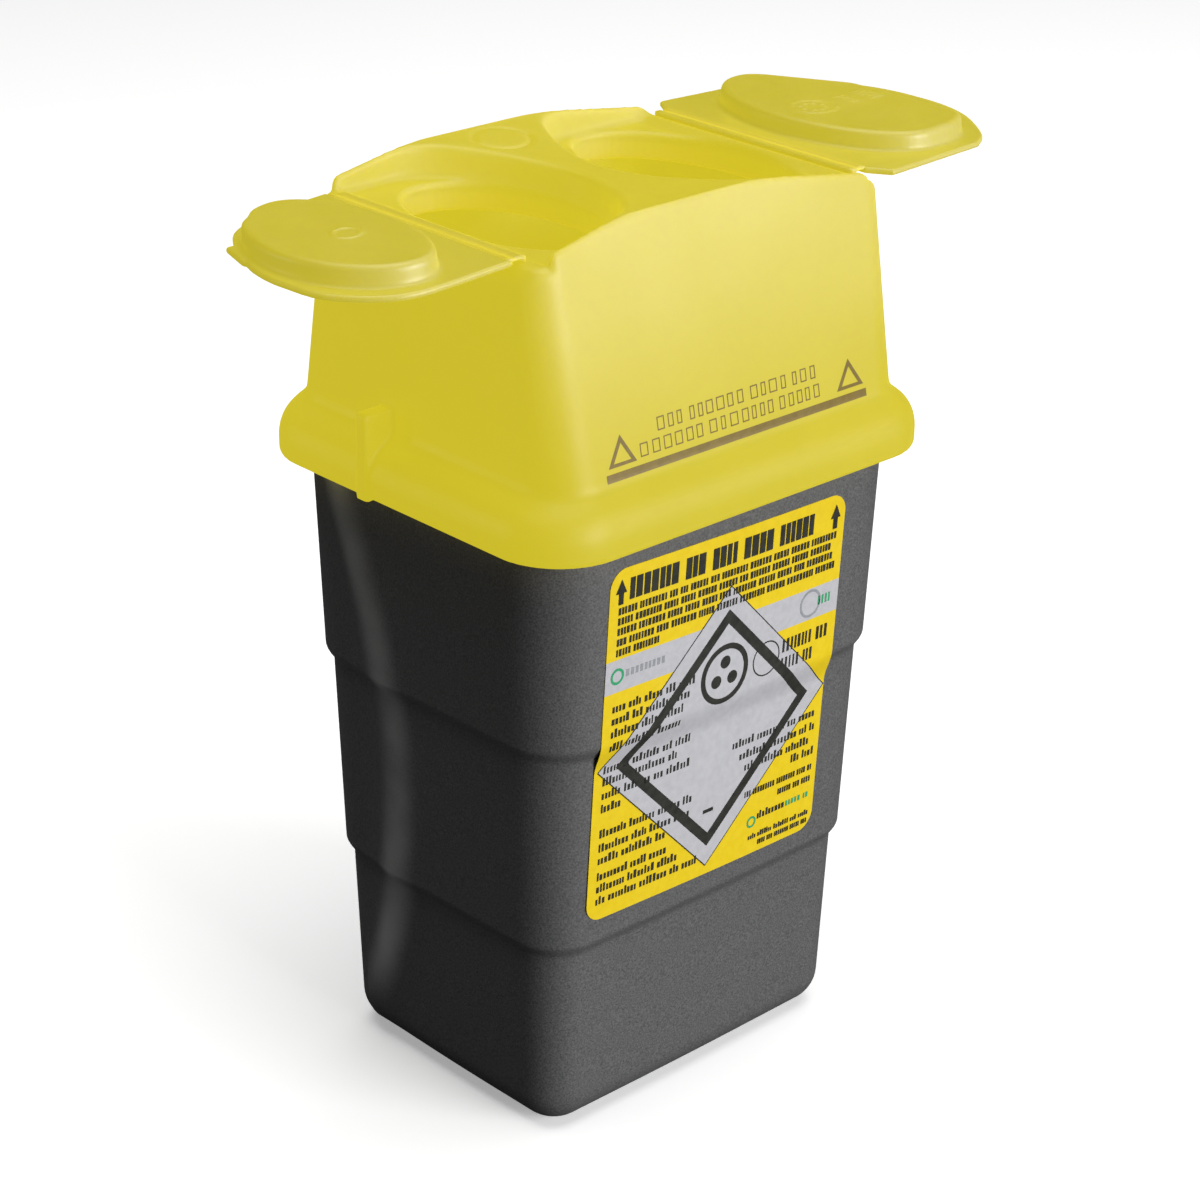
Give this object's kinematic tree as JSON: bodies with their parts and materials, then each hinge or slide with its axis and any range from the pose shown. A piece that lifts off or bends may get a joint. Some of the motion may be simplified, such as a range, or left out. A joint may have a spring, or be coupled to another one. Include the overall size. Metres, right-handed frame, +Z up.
{
  "type": "sharps container",
  "caption": "Tapered dark bin under a gabled yellow lid that presses over its flange, open wells, and plug flaps that stand open on film hinges.",
  "frame": {"origin": "centre of the bin's base, on the surface that it stands on", "axes": "+Z up, -Y out of the labelled broad face, +X along that face towards the larger flap"},
  "size_m": [0.1689, 0.088, 0.1874],
  "materials": {
    "bin": "fine moulded grain, satin",
    "lid": "translucent polypropylene, satin",
    "flap": "translucent polypropylene, satin",
    "film": "thin translucent polypropylene",
    "label": "printed film, semi-gloss"
  },
  "bodies": {
    "bin_and_lid": {"container_body": "bin", "lid_shell": "lid", "front_label": "label", "left_film_hinge": "film", "right_film_hinge": "film"},
    "left_flap": {"left_flap": "flap"},
    "right_flap": {"right_flap": "flap"}
  },
  "joints": [
    {"name": "left_flap_hinge", "type": "hinge", "parent": "bin_and_lid", "child": "left_flap", "pos_m": [-0.044, 0, 0.1824], "axis": [0, 1, 0], "range_deg": [-45, 173]},
    {"name": "right_flap_hinge", "type": "hinge", "parent": "bin_and_lid", "child": "right_flap", "pos_m": [0.0422, 0, 0.1824], "axis": [0, -1, 0], "range_deg": [-25, 167]}
  ]
}
